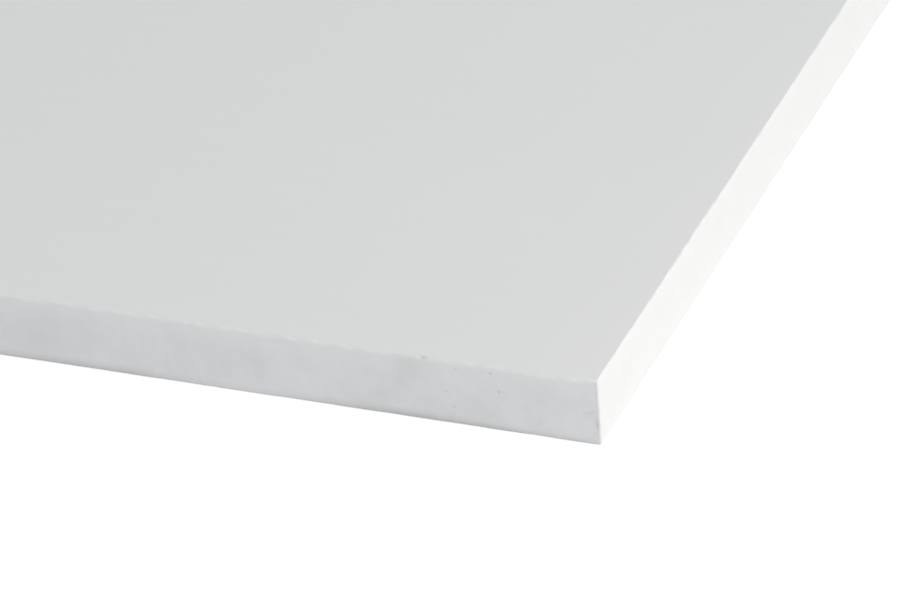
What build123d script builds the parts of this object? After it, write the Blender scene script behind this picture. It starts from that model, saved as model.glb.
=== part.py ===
from build123d import *
import os

# A panel of white foamed PVC, sawn from a larger sheet, lying flat on its underside.
# Millimetres. The origin is the middle of the underside, +X runs along the long
# sides, +Y along the short sides and +Z up through the thickness.

# The panel as it is sold: 24 x 12 inches, with the two-to-one plan of a full sheet.
LENGTH = 610.0
WIDTH = 305.0
THICKNESS = 10.0

# The saw leaves the four upright corners nearly sharp, and handling takes the
# last of the edge off.
CORNER_RADIUS = 0.5

# The arrises, where the hard skins meet the sawn edges. The upper one is eased a
# little, and the lower one is left as the blade leaves it.
UPPER_ARRIS_RADIUS = 0.3
LOWER_ARRIS_RADIUS = 0.2


def sawn_blank():
    """The panel as it comes off the saw: its plan, carried up through the thickness."""
    plan = RectangleRounded(LENGTH, WIDTH, CORNER_RADIUS)
    return extrude(plan, amount=THICKNESS)


def eased(blank):
    """The blank with the arris of each skin rounded all the way round."""
    upper_arris = blank.faces().sort_by(Axis.Z)[-1].edges()
    board = fillet(upper_arris, UPPER_ARRIS_RADIUS)
    lower_arris = board.faces().sort_by(Axis.Z)[0].edges()
    return fillet(lower_arris, LOWER_ARRIS_RADIUS)


foam_board = eased(sawn_blank())

os.makedirs("parts", exist_ok=True)
export_step(foam_board, "parts/foam_board.step")

size = foam_board.bounding_box().size
print(f"foam_board: {size.X:.2f} x {size.Y:.2f} x {size.Z:.2f} mm, {foam_board.volume / 1e6:.4f} litres")
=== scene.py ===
# %% [markdown]
# # A panel of white foamed PVC
#
# The object is one piece of stock: a sheet of PVC that was foamed, extruded between cooling
# plates and then sawn to size. The plates leave a smooth satin skin on both faces. The saw cuts
# through the foam, so the four edges are matt and cloudy, with a few cells left open.
#
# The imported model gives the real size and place, so the lesson starts by loading it. Everything
# below is in metres, and `MM` lets sizes be written as they would be measured with a rule. Marks
# near the corner that faces the camera are measured from that corner.

# %% Load the frame
import math
import random

import bmesh
import bpy
from mathutils import Matrix, Vector


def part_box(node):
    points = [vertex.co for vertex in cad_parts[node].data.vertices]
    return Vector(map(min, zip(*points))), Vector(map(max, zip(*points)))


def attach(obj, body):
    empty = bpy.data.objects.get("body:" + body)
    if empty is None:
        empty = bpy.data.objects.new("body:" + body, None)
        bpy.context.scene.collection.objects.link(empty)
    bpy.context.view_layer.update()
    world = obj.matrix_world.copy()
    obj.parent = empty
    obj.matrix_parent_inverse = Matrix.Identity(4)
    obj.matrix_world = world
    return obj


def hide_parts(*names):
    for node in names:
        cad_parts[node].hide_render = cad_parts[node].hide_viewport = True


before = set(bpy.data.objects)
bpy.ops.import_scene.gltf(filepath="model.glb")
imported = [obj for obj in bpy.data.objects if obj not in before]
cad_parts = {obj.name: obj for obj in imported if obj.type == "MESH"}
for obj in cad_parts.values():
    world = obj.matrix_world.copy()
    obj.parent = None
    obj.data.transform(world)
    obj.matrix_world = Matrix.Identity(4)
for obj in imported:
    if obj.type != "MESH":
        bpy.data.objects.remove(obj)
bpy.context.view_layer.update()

MM = 0.001
low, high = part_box("foam_board")
length, width, thickness = high - low
corner = Vector((high.x, low.y, high.z))
print(f"panel: {length / MM:.0f} x {width / MM:.0f} x {thickness / MM:.0f} mm")

# %% [markdown]
# ## The blank
#
# A sheet starts as a box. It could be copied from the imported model, but that mesh is loose
# triangles that can't take an edge loop, so a cube is added at the panel's own size and place.
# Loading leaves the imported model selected, and an operator acts on all that is selected, so
# everything is deselected first. The scale and place are then applied, which leaves the object
# at the origin with its place in its mesh.

# %% Add the blank
bpy.ops.object.select_all(action="DESELECT")
bpy.ops.mesh.primitive_cube_add(size=1, location=(low + high) / 2, scale=high - low)
board = bpy.context.object
board.name = "pvc_board"
bpy.ops.object.transform_apply(location=True, rotation=False, scale=True)
print("blank:", [round(d / MM, 2) for d in board.dimensions], "mm")

# %% [markdown]
# ## Eased edges
#
# No sawn edge is perfectly sharp. The blade and the hands that carry the panel take about a third
# of a millimetre off every arris, and that thin rounded line is what catches the light. One bevel
# over all twelve edges of the box gives it, with a neat round patch at each corner.

# %% Bevel all edges
ARRIS_RADIUS = 0.3 * MM
ARRIS_STEPS = 3

bpy.ops.object.mode_set(mode="EDIT")
bpy.ops.mesh.select_all(action="SELECT")
bpy.ops.mesh.bevel(offset=ARRIS_RADIUS, segments=ARRIS_STEPS, affect="EDGES")
print("eased blank:", len(bmesh.from_edit_mesh(board.data).faces), "faces")

# %% [markdown]
# ## A way to pick points, edges and faces
#
# By hand, faces and edges are clicked. A script has to say which ones it wants, and the surest way
# is by where they are. `pick` selects those whose test is true and says how many it found. A face
# counts as facing a way if most of its normal points there, and an edge as lying along an axis if
# nearly all of its length does.

# %% Define the picker
X, Y, Z = 0, 1, 2
STRAIGHT = 0.999
FACING = 0.9


def pick(kind, test):
    """Selects the points, edges or faces of the board that pass the test, and counts them."""
    bpy.ops.mesh.select_mode(type=kind)
    bpy.ops.mesh.select_all(action="DESELECT")
    mesh = bmesh.from_edit_mesh(board.data)
    mesh.normal_update()
    items = {"VERT": mesh.verts, "EDGE": mesh.edges, "FACE": mesh.faces}[kind]
    chosen = [item for item in items if test(item)]
    for item in chosen:
        item.select_set(True)
    mesh.select_flush_mode()
    bmesh.update_edit_mesh(board.data)
    return len(chosen)


def runs_along(edge, axis, at_least):
    """True where an edge lies along an axis and is at least that long."""
    span = edge.verts[1].co - edge.verts[0].co
    return abs(span[axis]) > STRAIGHT * span.length and span.length >= at_least


# %% [markdown]
# ## Rows and columns in the sawn edge
#
# The blade leaves the edges slightly uneven, and that needs faces to move. A grid over the whole
# panel would cost half a million of them, so only the sawn edges get a fine one. The skins get a
# coarse grid, and a narrow border between the two takes up the difference.
#
# First the border is inset on both skins. Then the upright edges are cut into rows, the long
# edges into coarse columns that run across the skins too, and at last the edges of the sawn
# band alone into fine columns.

# %% Inset the skins and cut the grid
BORDER = 0.4 * MM
ROW = 0.6 * MM
COARSE = 10 * MM
FINE = 0.56 * MM

skins = pick("FACE", lambda f: abs(f.normal.z) > FACING and f.calc_area() > length * width / 2)
bpy.ops.mesh.inset(thickness=BORDER, use_individual=True)
print("skins inset:", skins)

rows = round(thickness / ROW)
uprights = pick("EDGE", lambda e: runs_along(e, Z, thickness / 2))
bpy.ops.mesh.subdivide(number_cuts=rows - 1)
print("rows:", rows, "on", uprights, "upright edges")

for axis, side in ((X, length), (Y, width)):
    found = pick("EDGE", lambda e: runs_along(e, axis, side / 2))
    bpy.ops.mesh.subdivide(number_cuts=round(side / COARSE) - 1)
    print("coarse columns:", round(side / COARSE), "on", found, "edges")


def in_sawn_band(edge):
    """True for an edge that lies on a sawn edge or on its arrises."""
    middle = (edge.verts[0].co + edge.verts[1].co) / 2
    inside = ARRIS_RADIUS + BORDER / 2
    return abs(middle.x) > length / 2 - inside or abs(middle.y) > width / 2 - inside


fine_cuts = round(COARSE / FINE) - 1
for axis in (X, Y):
    found = pick("EDGE", lambda e: runs_along(e, axis, COARSE / 2) and in_sawn_band(e))
    bpy.ops.mesh.subdivide(number_cuts=fine_cuts)
    print("fine columns:", fine_cuts + 1, "in each of", found, "edges")
bpy.ops.object.mode_set(mode="OBJECT")
print("gridded blank:", len(board.data.polygons), "faces")

# %% [markdown]
# ## What the saw leaves
#
# A panel saw wanders by a tenth of a millimetre, arris and all. The foam between the skins tears a
# little finer than that, and the blade crumbles the upper arris away unevenly. Displace modifiers
# with cloud textures do all three. Each is held to its own points by a vertex group and then applied.
# The wander goes straight in from each side in turn and the tears go along the normals. The crumbled
# arris goes straight down, most at its outer end, so that it stays round.
#
# A colour ramp stretches each cloud to its full contrast and stops it at white. With white as the
# middle level a surface is only ever pushed in, and the panel can't grow past its real size. The
# points are sorted before anything moves, and the groups go again once they have done their work.

# %% Sort the points of the sawn edges
SLACK = 0.01 * MM
CRUMBLE_AT_SKIN = 0.05


def depth_in(point):
    """How far in from the nearest of the four sides a point lies."""
    return min(length / 2 - abs(point.co.x), width / 2 - abs(point.co.y))


points = board.data.vertices
upright = {p.index: 1.0 for p in points if depth_in(p) < SLACK}
crumbled = {
    p.index: 1 - (1 - CRUMBLE_AT_SKIN) * depth_in(p) / ARRIS_RADIUS
    for p in points
    if depth_in(p) < ARRIS_RADIUS + SLACK and p.co.z > high.z - ARRIS_RADIUS - SLACK
}
sides = {}
for name, axis, outward in (
    ("front edge", Y, -1),
    ("back edge", Y, 1),
    ("left edge", X, -1),
    ("right edge", X, 1),
):
    reach = (length, width)[axis] / 2 - ARRIS_RADIUS - SLACK
    weights = {p.index: 1.0 for p in points if outward * p.co[axis] > reach}
    sides[name] = ("XY"[axis], outward, weights)
print(len(upright), "upright points and", len(crumbled), "on the upper arris")

# %% Displace the sawn edges
SAW_WANDER = 0.1 * MM
SAW_WANDER_SIZE = 6 * MM
FOAM_TEAR = 0.03 * MM
FOAM_TEAR_SIZE = 1.4 * MM
ARRIS_CRUMBLE = 0.48 * MM
ARRIS_CRUMBLE_SIZE = 1.6 * MM
CLOUD_BLACK = 0.35
CLOUD_WHITE = 0.75


def displace(name, weights, strength, size, direction):
    """Moves points by their weights and a cloud texture of that size, and applies it."""
    group = board.vertex_groups.new(name=name)
    for index, weight in weights.items():
        group.add([index], weight, "REPLACE")
    clouds = bpy.data.textures.new(name, type="CLOUDS")
    clouds.noise_scale = size
    clouds.use_color_ramp = True
    black, white = clouds.color_ramp.elements
    black.position, black.color = CLOUD_BLACK, (0, 0, 0, 1)
    white.position, white.color = CLOUD_WHITE, (1, 1, 1, 1)
    bpy.ops.object.modifier_add(type="DISPLACE")
    push = board.modifiers[-1]
    push.texture = clouds
    push.texture_coords = "LOCAL"
    push.direction = direction
    push.vertex_group = group.name
    push.mid_level = 1.0
    push.strength = strength
    bpy.ops.object.modifier_apply(modifier=push.name)
    print("displaced:", name, len(weights), "points")


for name, (direction, outward, weights) in sides.items():
    displace(name, weights, outward * SAW_WANDER, SAW_WANDER_SIZE, direction)
displace("torn foam", upright, FOAM_TEAR, FOAM_TEAR_SIZE, "NORMAL")
displace("crumbled arris", crumbled, ARRIS_CRUMBLE, ARRIS_CRUMBLE_SIZE, "Z")
bpy.ops.object.vertex_group_remove(all=True)

# %% [markdown]
# ## Knocks
#
# The corner in front has been knocked. A shallow nick runs down the front edge from it, and the
# upright arris is notched just below. A texture could only paint them, so they are cut: three
# bisects lay three lines along the nick, and the middle one is pushed in to make a groove that
# runs out at both ends. The notch is one row of the rounded corner, moved in.
#
# The upper arris of the front edge has also lost a few crumbs. Each is a short stretch of the
# arris, sunk in one go with the others. One is at its real place, and a seeded draw strews the rest,
# so that they fall in the same places each time.

# %% Cut the nick and the notch
NICK_START = (0.2 * MM, 5.7 * MM)
NICK_END = (2.7 * MM, 4.3 * MM)
NICK_WIDTH = 0.7 * MM
NICK_DEPTH = 0.1 * MM
NOTCH_UP = 4.0 * MM
NOTCH_DEPTH = 0.04 * MM


def on_front(left, up):
    """A place on the front edge, given left of the near corner and up from the floor."""
    return Vector((corner.x - left, corner.y, low.z + up))


start = on_front(*NICK_START)
along = (on_front(*NICK_END) - start).normalized()
sideways = along.cross(Vector((0, 1, 0)))
nick_length = (on_front(*NICK_END) - start).length


def beside_nick(face):
    """True for the faces of the front edge that the nick crosses or passes."""
    spot = face.calc_center_median() - start
    near = -ROW < spot.dot(along) < nick_length + ROW
    return face.normal.y < -FACING and near and abs(spot.dot(sideways)) < ROW


def in_nick(point):
    """True for the points of the nick's middle line, apart from its ends."""
    spot = point.co - start
    on_line = abs(spot.dot(sideways)) < SLACK and abs(spot.y) < ROW
    return on_line and 0 < spot.dot(along) < nick_length


def in_notch(point):
    """True for the row of the rounded upright corner that was knocked in."""
    beside = (point.co.xy - corner.xy).length < 2 * ARRIS_RADIUS
    return beside and abs(point.co.z - low.z - NOTCH_UP) < ROW / 2


bpy.ops.object.mode_set(mode="EDIT")
for offset in (-NICK_WIDTH / 2, NICK_WIDTH / 2, 0):
    pick("FACE", beside_nick)
    bpy.ops.mesh.bisect(plane_co=start + offset * sideways, plane_no=sideways, threshold=SLACK / 10)
print("points in the nick:", pick("VERT", in_nick))
bpy.ops.transform.translate(value=(0, NICK_DEPTH, 0))
print("points in the notch:", pick("VERT", in_notch))
bpy.ops.transform.translate(value=(-NOTCH_DEPTH, NOTCH_DEPTH, 0))

# %% Crumbs lost from the front arris
SEEN_CRUMB = 25.1 * MM
CRUMBS = 24
CRUMB_LENGTH = FINE
CRUMB_SINK = (0, 0.1 * MM, -0.16 * MM)
CLEAR_OF_CORNER = 100 * MM

draw = random.Random(12)
crumbs = [SEEN_CRUMB] + [draw.uniform(CLEAR_OF_CORNER, length) for _ in range(CRUMBS)]


def in_crumb(point):
    """True for the points of the front's upper arris where a crumb was lost."""
    left = corner.x - point.co.x
    inside = point.co.y - low.y < ARRIS_RADIUS and high.z - point.co.z < 2 * ARRIS_RADIUS
    return inside and any(abs(left - place) < CRUMB_LENGTH / 2 for place in crumbs)


print("points of lost crumbs:", pick("VERT", in_crumb))
bpy.ops.transform.translate(value=CRUMB_SINK)
bpy.ops.object.mode_set(mode="OBJECT")

# %% [markdown]
# ## Open cells
#
# The foam is a mass of closed cells, most of them too small to see. Where the blade meets a large
# one it stays open as a soft grey speck. Each is modelled as it would be by hand: a face of the
# sawn edge is inset, the corners of the inset are cut off to make it round, and it is pushed in as
# a shallow dish with its floor poked a little deeper. Depth, rim and cut are shares of its width.
#
# Each open cell gets painted shade, most on its floor and a little on its rim, standing in for the
# shade that a deeper cell would hold. That is kept as a value on the points, the way vertex paint is
# kept, and the material reads it later.
#
# The cells seen near the corner have their real places, and the draw goes on to scatter the rest.

# %% Choose the faces for the cells
SEEN_CELLS = {
    "large": [(15.3 * MM, 8.8 * MM), (14.3 * MM, 6.2 * MM)],
    "medium": [(21.0 * MM, 2.9 * MM)],
    "small": [(20.4 * MM, 8.7 * MM), (22.5 * MM, 5.2 * MM)],
}
CELL_SIZES = {"large": 0.5 * MM, "medium": 0.42 * MM, "small": 0.3 * MM}
CELL_SHARES = {"large": 0.15, "medium": 0.35, "small": 0.5}
SCATTERED_CELLS = 200
CLEAR_OF_ARRIS = 0.5 * MM
SAWN_TILT = 0.2

sawn_faces = [
    f
    for f in board.data.polygons
    if abs(f.normal.z) < SAWN_TILT and len(f.vertices) == 4 and f.area > ROW * FINE / 2
]
front_faces = [f for f in sawn_faces if f.normal.y < -FACING]
cells = {}
for size, places in SEEN_CELLS.items():
    spots = [on_front(left, up) for left, up in places]
    nearest = [min(front_faces, key=lambda f: (f.center - spot).length) for spot in spots]
    cells[size] = [face.center.copy() for face in nearest]

candidates = [
    face.center.copy()
    for face in sawn_faces
    if low.z + CLEAR_OF_ARRIS < face.center.z < high.z - CLEAR_OF_ARRIS
    and (face.center - corner).length > CLEAR_OF_CORNER
]
for place in draw.sample(candidates, SCATTERED_CELLS):
    size = draw.choices(list(CELL_SHARES), list(CELL_SHARES.values()))[0]
    cells[size].append(place)
print("open cells:", {size: len(places) for size, places in cells.items()})

# %% Sink the cells
OCTAGON_CUT = 0.29
CELL_TILT = 0.5
CELL_DEPTH = 0.1
# Painted shade in the open cells, standing in for the shade that deeper cells would hold.
CELL_RIM = 0.22
CELL_SHADE = 0.26
RIM_SHADE = 0.16
SAME_PLACE = 0.02 * MM


def key_of(place):
    """A place rounded to whole steps, so that two of the same can be matched."""
    return tuple(round(c / SAME_PLACE) for c in place)


def shade_selected(amount):
    """Sets the painted shade on the selected points."""
    mesh = bmesh.from_edit_mesh(board.data)
    layer = mesh.verts.layers.float["marks_and_shade"]
    for point in mesh.verts:
        if point.select:
            point[layer] = amount


board.data.attributes.new("marks_and_shade", "FLOAT", "POINT")
bpy.ops.object.mode_set(mode="EDIT")
for size, places in cells.items():
    across = CELL_SIZES[size]
    wanted = {key_of(place) for place in places}
    pick("FACE", lambda f: key_of(f.calc_center_median()) in wanted)
    bpy.ops.mesh.inset(thickness=(ROW - across) / 2, use_individual=True)
    bpy.ops.mesh.bevel(offset=OCTAGON_CUT * across, segments=1, affect="VERTICES")
    round_faces = pick("FACE", lambda f: len(f.verts) == 8 and abs(f.normal.z) < CELL_TILT)
    shade_selected(RIM_SHADE)
    bpy.ops.mesh.inset(thickness=CELL_RIM * across, depth=-CELL_DEPTH * across, use_individual=True)
    bpy.ops.mesh.poke(offset=-CELL_DEPTH / 2 * across)
    shade_selected(CELL_SHADE)
    print(size, "cells sunk:", round_faces)
bpy.ops.object.mode_set(mode="OBJECT")
print("panel with open cells:", len(board.data.polygons), "faces")

# %% [markdown]
# ## Smudges and painted shade
#
# The front edge has soft grey smudges where it was handled, grey along its foot that is partly grime
# from being set down and partly painted shade where it meets the floor, and by the knocked corner a
# faint mark and a short dark streak. The chip where a crumb was lost gets painted shade. Noise can't
# put them where they are, so they are painted on the same points as the painted shade of the open
# cells. Each is one dab of a soft oval brush: its place left of the corner and up from the floor, how
# far it reaches along the edge and up it, and its strength.

# %% Paint the smudges and the painted shade
SMUDGES = {
    "thumb mark under the arris": (27.5 * MM, 8.3 * MM, 2.2 * MM, 1.8 * MM, 0.12),
    "smear, upper end": (29.2 * MM, 5.5 * MM, 2.0 * MM, 1.6 * MM, 0.08),
    "smear, middle": (31.6 * MM, 3.1 * MM, 2.0 * MM, 1.2 * MM, 0.11),
    "smear, lower end": (34.0 * MM, 1.5 * MM, 2.0 * MM, 1.0 * MM, 0.12),
    "dulled stretch": (21.0 * MM, 2.0 * MM, 9.0 * MM, 1.8 * MM, 0.05),
    "faint mark": (18.6 * MM, 4.1 * MM, 1.8 * MM, 1.4 * MM, 0.05),
    "wide mark": (52.0 * MM, 5.9 * MM, 3.5 * MM, 2.5 * MM, 0.05),
    "far mark": (82.5 * MM, 3.7 * MM, 5.0 * MM, 2.5 * MM, 0.08),
    # Painted shade along the foot, partly grime, where the front edge meets the floor.
    "shade and grime at the foot": (28.2 * MM, 0.2 * MM, 6.0 * MM, 0.8 * MM, 0.10),
    "shade and grime at the foot, far": (68.0 * MM, 0.4 * MM, 3.5 * MM, 0.9 * MM, 0.10),
    "shade and grime at the foot, near": (14.1 * MM, 0.1 * MM, 6.0 * MM, 0.5 * MM, 0.22),
    "shade and grime at the foot, corner": (4.9 * MM, 0.1 * MM, 4.0 * MM, 0.5 * MM, 0.15),
    "streak on the corner": (0.45 * MM, 3.2 * MM, 0.3 * MM, 0.8 * MM, 0.3),
    "knock beside the corner": (0.9 * MM, 4.7 * MM, 1.0 * MM, 0.7 * MM, 0.09),
    # Painted shade of the chip where the crumb was lost.
    "painted shade where the crumb was": (SEEN_CRUMB, 9.8 * MM, 0.3 * MM, 0.3 * MM, 0.6),
}

marks_and_shade = board.data.attributes["marks_and_shade"].data
painted = 0
for point in board.data.vertices:
    if point.co.y < low.y + 2 * ARRIS_RADIUS:
        for left, up, along_edge, up_edge, strength in SMUDGES.values():
            away = point.co - on_front(left, up)
            fade = (away.x / along_edge) ** 2 + (away.z / up_edge) ** 2
            marks_and_shade[point.index].value += strength * math.exp(-fade)
        painted += 1
print("points painted:", painted)

# %% [markdown]
# ## Finish the mesh
#
# The piece is shaded smooth where faces meet at a shallow angle, so the eased arrises read as round
# and the rims of the cells stay crisp. It rides on the one body there is and stands for the packed
# panel.

# %% Shade, ride and replace
SMOOTH_UNDER = math.radians(40)

bpy.ops.object.mode_set(mode="EDIT")
bpy.ops.mesh.select_all(action="SELECT")
bpy.ops.mesh.normals_make_consistent(inside=False)
bpy.ops.object.mode_set(mode="OBJECT")
bpy.ops.object.shade_smooth_by_angle(angle=SMOOTH_UNDER)

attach(board, "root")
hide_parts("foam_board")
board.data.calc_loop_triangles()
print("finished panel:", len(board.data.loop_triangles), "triangles")

# %% [markdown]
# ## Small helpers for materials
#
# Colours are written as the hex values that a colour picker shows and turned to the linear numbers
# that a shader takes. `node` adds one node, sets its options, and either sets or links its inputs,
# which are given by name, or by number where two share a name.

# %% Colours and nodes


def linear(hex_colour):
    """An sRGB hex colour as linear numbers, with an alpha of 1."""
    parts = [int(hex_colour[i : i + 2], 16) / 255 for i in (1, 3, 5)]
    return [p / 12.92 if p <= 0.04045 else ((p + 0.055) / 1.055) ** 2.4 for p in parts] + [1.0]


def node(tree, kind, inputs=None, out=None, **options):
    """Adds a node with its options, sets or links its inputs, and returns one output."""
    made = tree.nodes.new(kind)
    for name, value in options.items():
        setattr(made, name, value)
    for name, value in (inputs or {}).items():
        if isinstance(name, int):
            socket = made.inputs[name]
        else:
            socket = next(s for s in made.inputs if s.name == name and s.enabled)
        if isinstance(value, bpy.types.NodeSocket):
            tree.links.new(value, socket)
        else:
            socket.default_value = value
    return next((s for s in made.outputs if s.enabled and out in (None, s.name)), None)


def new_material(name):
    """An empty material and its tree."""
    material = bpy.data.materials.new(name)
    material.use_nodes = True
    material.node_tree.nodes.clear()
    return material, material.node_tree


# %% [markdown]
# ## The extruded skin
#
# Foamed PVC is cooled against polished plates. The skin is a clean white with a satin gloss, and the
# eye finds it almost featureless: a trace of the die in long faint lines, a faint orange peel, and
# a little more or less gloss where it was handled.

# %% Extruded PVC skin
PVC_IOR = 1.53
SKIN_WHITE = "#F4F4F4"
SKIN_SHADE = "#F2F2F2"
DIE_LINE = 1.2 * MM
DIE_LINE_LENGTH = 400 * MM

skin, tree = new_material("extruded PVC skin")
place = node(tree, "ShaderNodeTexCoord", out="Object")
drawn_out = node(
    tree,
    "ShaderNodeMapping",
    {"Vector": place, "Scale": (1 / DIE_LINE_LENGTH, 1 / DIE_LINE, 1)},
)
die_lines = node(tree, "ShaderNodeTexNoise", {"Vector": drawn_out, "Scale": 1.0, "Detail": 2.0})
tone = node(
    tree,
    "ShaderNodeMix",
    {"Factor": die_lines, "A": linear(SKIN_WHITE), "B": linear(SKIN_SHADE)},
    out="Result",
    data_type="RGBA",
)

print("skin from", SKIN_WHITE, "to", SKIN_SHADE, f"in die lines {DIE_LINE / MM:.1f} mm apart")

# %% Gloss and orange peel of the skin
SKIN_ROUGHNESS = (0.38, 0.46)
SMEAR = 45 * MM
SMEAR_RANGE = (0.3, 0.7)
PEEL = 2.5 * MM
PEEL_DEPTH = 0.004 * MM

smears = node(tree, "ShaderNodeTexNoise", {"Vector": place, "Scale": 1 / SMEAR, "Detail": 2.0})
roughness = node(
    tree,
    "ShaderNodeMapRange",
    {
        "Value": smears,
        "From Min": SMEAR_RANGE[0],
        "From Max": SMEAR_RANGE[1],
        "To Min": SKIN_ROUGHNESS[0],
        "To Max": SKIN_ROUGHNESS[1],
    },
)
peel = node(tree, "ShaderNodeTexNoise", {"Vector": place, "Scale": 1 / PEEL, "Detail": 1.0})
relief = node(tree, "ShaderNodeBump", {"Height": peel, "Strength": 1.0, "Distance": PEEL_DEPTH})
surface = node(
    tree,
    "ShaderNodeBsdfPrincipled",
    {"Base Color": tone, "Roughness": roughness, "IOR": PVC_IOR, "Normal": relief},
)
node(tree, "ShaderNodeOutputMaterial", {"Surface": surface})
print("skin:", len(tree.nodes), "nodes")

# %% [markdown]
# ## The sawn foam
#
# The saw opens the foam, so the edge scatters light like fine chalk: matt, a little cooler than the
# skin, and faintly clouded where the cells run larger or finer. The right-hand edge, which the
# softbox lights most, is given fainter clouds and a fainter dense band and is more even, painted to
# look as flat as strong light makes it. Just under the upper skin the foam is denser and whiter, and
# fades into the rest along a wavering line. Along the foot of the front edge grey is painted in
# patches, partly grime and partly painted shade where it meets the floor, and painted shade runs down
# the front half of the rounded upright corner.

# %% Sawn PVC foam and its clouds
FOAM_WHITE = "#F4F5F7"
FOAM_CLOUD = "#F0F1F3"
FOAM_ROUGHNESS = 0.85
CLOUD = 6 * MM
CLOUD_RANGE = (0.38, 0.62)
MOTTLE = 1.1 * MM
MOTTLE_SHARE = 0.35
# The share of the clouds on the right-hand edge, which the softbox lights most.
PATTERN_SHARE_ON_LIT_EDGE = 0.4

foam, tree = new_material("sawn PVC foam")
place = node(tree, "ShaderNodeTexCoord", out="Object")
spot = node(tree, "ShaderNodeSeparateXYZ", {"Vector": place}).node
x, y, z = (spot.outputs[name] for name in "XYZ")
clouds = node(tree, "ShaderNodeTexNoise", {"Vector": place, "Scale": 1 / CLOUD, "Detail": 3.0})
mottle = node(tree, "ShaderNodeTexNoise", {"Vector": place, "Scale": 1 / MOTTLE, "Detail": 2.0})
both = node(tree, "ShaderNodeMix", {"Factor": MOTTLE_SHARE, "A": clouds, "B": mottle}, out="Result")
# The right-hand edge, which the softbox lights most, gets fainter clouds and a fainter dense band,
# painted to look as flat as strong light makes them.
brightly_lit = node(
    tree, "ShaderNodeMath", {0: x, 1: high.x - 2 * ARRIS_RADIUS}, operation="GREATER_THAN"
)
pattern_share_in_light = node(tree, "ShaderNodeMapRange", {"Value": brightly_lit, "To Min": 1.0, "To Max": PATTERN_SHARE_ON_LIT_EDGE})
cloudy = node(
    tree,
    "ShaderNodeMapRange",
    {"Value": both, "From Min": CLOUD_RANGE[0], "From Max": CLOUD_RANGE[1], "To Max": pattern_share_in_light},
)
clouded = node(
    tree,
    "ShaderNodeMix",
    {"Factor": cloudy, "A": linear(FOAM_WHITE), "B": linear(FOAM_CLOUD)},
    out="Result",
    data_type="RGBA",
)

print(f"foam: clouds of {CLOUD / MM:.0f} mm and mottle of {MOTTLE / MM:.1f} mm")

# %% Denser foam under the upper skin
DENSE_WHITE = "#F6F7F8"
DENSE_LEAST = 2.0 * MM
DENSE_MOST = 4.5 * MM
DENSE_WAVER = 14 * MM
WAVER_RANGE = (0.35, 0.65)
DENSE_FADE = 3.0 * MM

waver = node(tree, "ShaderNodeTexNoise", {"Vector": place, "Scale": 1 / DENSE_WAVER, "Detail": 2.0})
limit = node(
    tree,
    "ShaderNodeMapRange",
    {
        "Value": waver,
        "From Min": WAVER_RANGE[0],
        "From Max": WAVER_RANGE[1],
        "To Min": high.z - DENSE_MOST,
        "To Max": high.z - DENSE_LEAST,
    },
)
above = node(tree, "ShaderNodeMath", {0: z, 1: limit}, operation="SUBTRACT")
dense = node(
    tree,
    "ShaderNodeMapRange",
    {"Value": above, "From Min": 0.0, "From Max": DENSE_FADE, "To Max": pattern_share_in_light},
)
banded = node(
    tree,
    "ShaderNodeMix",
    {"Factor": dense, "A": clouded, "B": linear(DENSE_WHITE)},
    out="Result",
    data_type="RGBA",
)

print(f"denser foam: reaches {DENSE_LEAST / MM:.1f} to {DENSE_MOST / MM:.1f} mm down")

# %% Painted shade and grime along the foot, and painted shade down the corner
# One grey serves the painted shade and the grime and marks alike.
SHADE_AND_GRIME_GREY = "#B3B3B0"
FOOT_SHADE_AND_GRIME_HEIGHT = 1.8 * MM
FOOT_SHADE_AND_GRIME_CURVE = 1.9
PATCH_SPACING = 47.2 * MM
PATCH_LEFT = 28.2 * MM
PATCH_RANGE = (0.12, 0.52)
OTHER_EDGES = 0.15
# Painted shade on the front half of the rounded upright corner.
CORNER_SHADE = 0.3
CORNER_SHADE_FROM = 0.6 * MM
CORNER_SHADE_FULL = 0.25 * MM

# Painted shade at the foot, partly grime: darkest at the floor, in patches, full on the front edge
# and faint on the others.
nearness = node(
    tree,
    "ShaderNodeMapRange",
    {"Value": z, "From Min": low.z + FOOT_SHADE_AND_GRIME_HEIGHT, "From Max": low.z},
)
foot = node(tree, "ShaderNodeMath", {0: nearness, 1: FOOT_SHADE_AND_GRIME_CURVE}, operation="POWER")
# A wave texture repeats every pi / 10 units, and its phase puts a patch at its place.
patches = node(
    tree,
    "ShaderNodeTexWave",
    {
        "Vector": place,
        "Scale": math.pi / 10 / PATCH_SPACING,
        "Distortion": 1.0,
        "Detail": 2.0,
        "Phase Offset": math.pi - math.tau * (corner.x - PATCH_LEFT) / PATCH_SPACING,
    },
    out="Fac",
)
patchy = node(
    tree,
    "ShaderNodeMapRange",
    {"Value": patches, "To Min": PATCH_RANGE[0], "To Max": PATCH_RANGE[1]},
)
front = node(tree, "ShaderNodeMath", {0: y, 1: low.y + 2 * ARRIS_RADIUS}, operation="LESS_THAN")
share = node(tree, "ShaderNodeMapRange", {"Value": front, "To Min": OTHER_EDGES})
foot_patches = node(tree, "ShaderNodeMath", {0: foot, 1: patchy}, operation="MULTIPLY")
foot_shade_and_grime = node(tree, "ShaderNodeMath", {0: foot_patches, 1: share}, operation="MULTIPLY")
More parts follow.
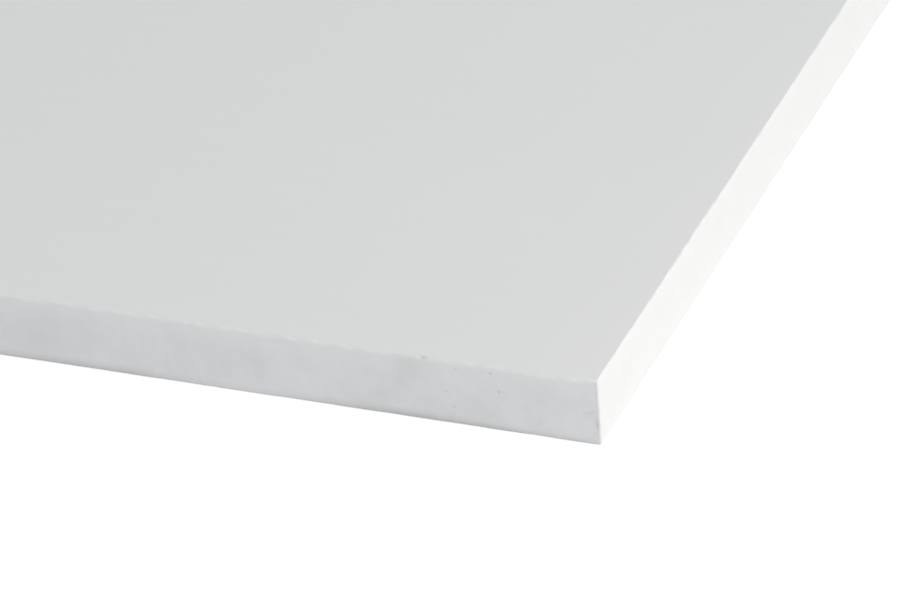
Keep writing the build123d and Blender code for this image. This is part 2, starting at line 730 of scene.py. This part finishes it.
# Painted shade down the front half of the rounded upright corner, over its whole height, to tone down
# the softbox light it catches.
nearing = node(
    tree,
    "ShaderNodeMapRange",
    {
        "Value": x,
        "From Min": high.x - CORNER_SHADE_FROM,
        "From Max": high.x - CORNER_SHADE_FULL,
        "To Max": CORNER_SHADE,
    },
)
turning = node(
    tree,
    "ShaderNodeMapRange",
    {"Value": y, "From Min": low.y + CORNER_SHADE_FROM, "From Max": low.y + CORNER_SHADE_FULL},
)
corner_shade = node(tree, "ShaderNodeMath", {0: nearing, 1: turning}, operation="MULTIPLY")
grime_and_shade_at_foot_and_corner = node(tree, "ShaderNodeMath", {0: foot_shade_and_grime, 1: corner_shade}, operation="MAXIMUM")
painted_marks_and_shade = node(tree, "ShaderNodeAttribute", out="Fac", attribute_name="marks_and_shade")
soil_and_shade_mask = node(
    tree, "ShaderNodeMath", {0: grime_and_shade_at_foot_and_corner, 1: painted_marks_and_shade}, operation="ADD", use_clamp=True
)
shaded_and_grimed = node(
    tree,
    "ShaderNodeMix",
    {"Factor": soil_and_shade_mask, "A": banded, "B": linear(SHADE_AND_GRIME_GREY)},
    out="Result",
    data_type="RGBA",
)

print(f"dirt: {FOOT_SHADE_AND_GRIME_HEIGHT / MM:.1f} mm up, in patches {PATCH_SPACING / MM:.0f} mm apart")

# %% Grain of the sawn foam
CELL = 0.45 * MM
CELL_RELIEF = 0.02 * MM

grain = node(tree, "ShaderNodeTexNoise", {"Vector": place, "Scale": 1 / CELL, "Detail": 2.0})
relief = node(tree, "ShaderNodeBump", {"Height": grain, "Strength": 1.0, "Distance": CELL_RELIEF})
surface = node(
    tree,
    "ShaderNodeBsdfPrincipled",
    {"Base Color": shaded_and_grimed, "Roughness": FOAM_ROUGHNESS, "IOR": PVC_IOR, "Normal": relief},
)
node(tree, "ShaderNodeOutputMaterial", {"Surface": surface})
print("foam:", len(tree.nodes), "nodes")

# %% [markdown]
# ## Skin or foam
#
# By hand, the sawn faces would be selected and given the foam in the list of materials. The script
# does the same, and picks them by how far they lean from level, so that the rounded arris turns
# from skin to foam where it steepens. All triangles are foam too, because they are floors of cells
# and cuts of the nick.

# %% Give each face its material
board.data.materials.append(skin)
board.data.materials.append(foam)
bpy.ops.object.mode_set(mode="EDIT")
sawn_count = pick("FACE", lambda f: abs(f.normal.z) < FACING or len(f.verts) == 3)
board.active_material_index = 1
bpy.ops.object.material_slot_assign()
bpy.ops.object.mode_set(mode="OBJECT")
print("faces of sawn foam:", sawn_count)

# %% [markdown]
# ## The floor
#
# A white sweep under the panel. It takes the light and the panel's shadow as any white paper would,
# and only where it is looked at it glows a little, so that it reads as white without more light on
# the panel. More glow would wash the shadow out.

# %% White floor
FLOOR_WHITE = "#EDEDED"
FLOOR_GLOW = 0.48
FLOOR_SIZE = 80.0

bpy.ops.object.select_all(action="DESELECT")
bpy.ops.mesh.primitive_plane_add(size=FLOOR_SIZE, location=(0, 0, low.z - SLACK))
floor = bpy.context.object
floor.name = "floor"


def seen_directly(tree):
    """1 for a ray from the camera or from a mirror or glass, and 0 for light on its way."""
    path = node(tree, "ShaderNodeLightPath").node
    mirrored = node(
        tree,
        "ShaderNodeMath",
        {0: path.outputs["Is Glossy Ray"], 1: path.outputs["Is Transmission Ray"]},
        operation="MAXIMUM",
    )
    return node(
        tree, "ShaderNodeMath", {0: path.outputs["Is Camera Ray"], 1: mirrored}, operation="MAXIMUM"
    )


paper, tree = new_material("white paper sweep")
glow = node(tree, "ShaderNodeMapRange", {"Value": seen_directly(tree), "To Max": FLOOR_GLOW})
surface = node(
    tree,
    "ShaderNodeBsdfPrincipled",
    {
        "Base Color": linear(FLOOR_WHITE),
        "Roughness": 1.0,
        "Specular IOR Level": 0.0,
        "Emission Color": (1, 1, 1, 1),
        "Emission Strength": glow,
    },
)
node(tree, "ShaderNodeOutputMaterial", {"Surface": surface})
floor.data.materials.append(paper)
print("floor:", FLOOR_SIZE, "m wide, with a glow of", FLOOR_GLOW)

# %% [markdown]
# ## Light
#
# The right-hand edge of the panel is the brightest, then the upper skin, then the front edge. One
# softbox low on the right does that. It stands within a metre, so its light falls off across the
# skin as it goes left, and it is a little warmer than the even pale world that lights the rest.
# Looked at directly or in a gloss, the world has the tone that the floor takes on far from the
# softbox, so that floor and backdrop run into one.

# %% World and softbox
SKY = "#F9FCFF"
SKY_STRENGTH = 0.572
BACKDROP = "#F8F9FB"
KEY_COLOUR = "#FFFAF0"
KEY_WATTS = 1.87
KEY_SIZE = 0.5
KEY_DISTANCE = 0.75
KEY_SPREAD = math.radians(140)
KEY_FROM = Vector((0.879, -0.187, 0.438))

world = bpy.data.worlds.new("pale studio")
bpy.context.scene.world = world
world.use_nodes = True
tree = world.node_tree
tree.nodes.clear()
sky = node(tree, "ShaderNodeBackground", {"Color": linear(SKY), "Strength": SKY_STRENGTH})
backdrop = node(tree, "ShaderNodeBackground", {"Color": linear(BACKDROP), "Strength": 1.0})
mixed = node(tree, "ShaderNodeMixShader", {0: seen_directly(tree), 1: sky, 2: backdrop})
node(tree, "ShaderNodeOutputWorld", {"Surface": mixed})

stand = corner + KEY_FROM.normalized() * KEY_DISTANCE
bpy.ops.object.light_add(type="AREA", location=stand)
key = bpy.context.object
key.name = "key softbox"
key.rotation_euler = KEY_FROM.to_track_quat("Z", "Y").to_euler()
key.visible_camera = False
key.data.size = KEY_SIZE
key.data.spread = KEY_SPREAD
key.data.energy = KEY_WATTS
key.data.color = linear(KEY_COLOUR)[:3]
print("softbox at", [round(c, 2) for c in stand])

# %% [markdown]
# ## Camera
#
# The picture is a close look at the near corner, taken with a long lens, so the edges hardly
# converge. The camera is set by where that corner falls in the picture and by the three angles
# that the edges give.

# %% Camera at the near corner
PICTURE = (900, 601)
CORNER_PIXEL = (597.8, 383.0)
AZIMUTH = math.radians(22.30)
ELEVATION = math.radians(31.12)
ROLL = math.radians(-3.66)
DISTANCE = 1.2084
LENS_MM = 360.0
SENSOR_MM = 36.0

back = Vector(
    (
        math.sin(AZIMUTH) * math.cos(ELEVATION),
        -math.cos(AZIMUTH) * math.cos(ELEVATION),
        math.sin(ELEVATION),
    )
)
level = Vector((math.cos(AZIMUTH), math.sin(AZIMUTH), 0))
upward = back.cross(level)
right = math.cos(ROLL) * level + math.sin(ROLL) * upward
up = math.cos(ROLL) * upward - math.sin(ROLL) * level
focal_pixels = LENS_MM / SENSOR_MM * PICTURE[0]
across = (CORNER_PIXEL[0] - PICTURE[0] / 2) / focal_pixels * DISTANCE
below = (CORNER_PIXEL[1] - PICTURE[1] / 2) / focal_pixels * DISTANCE
eye = corner - across * right + below * up + DISTANCE * back

bpy.ops.object.camera_add()
camera = bpy.context.object
camera.matrix_world = Matrix.Translation(eye) @ Matrix((right, up, back)).transposed().to_4x4()
camera.data.lens = LENS_MM
camera.data.sensor_width = SENSOR_MM
bpy.context.scene.camera = camera
bpy.context.scene.view_settings.view_transform = "Standard"
print("camera at", [round(c, 3) for c in eye])
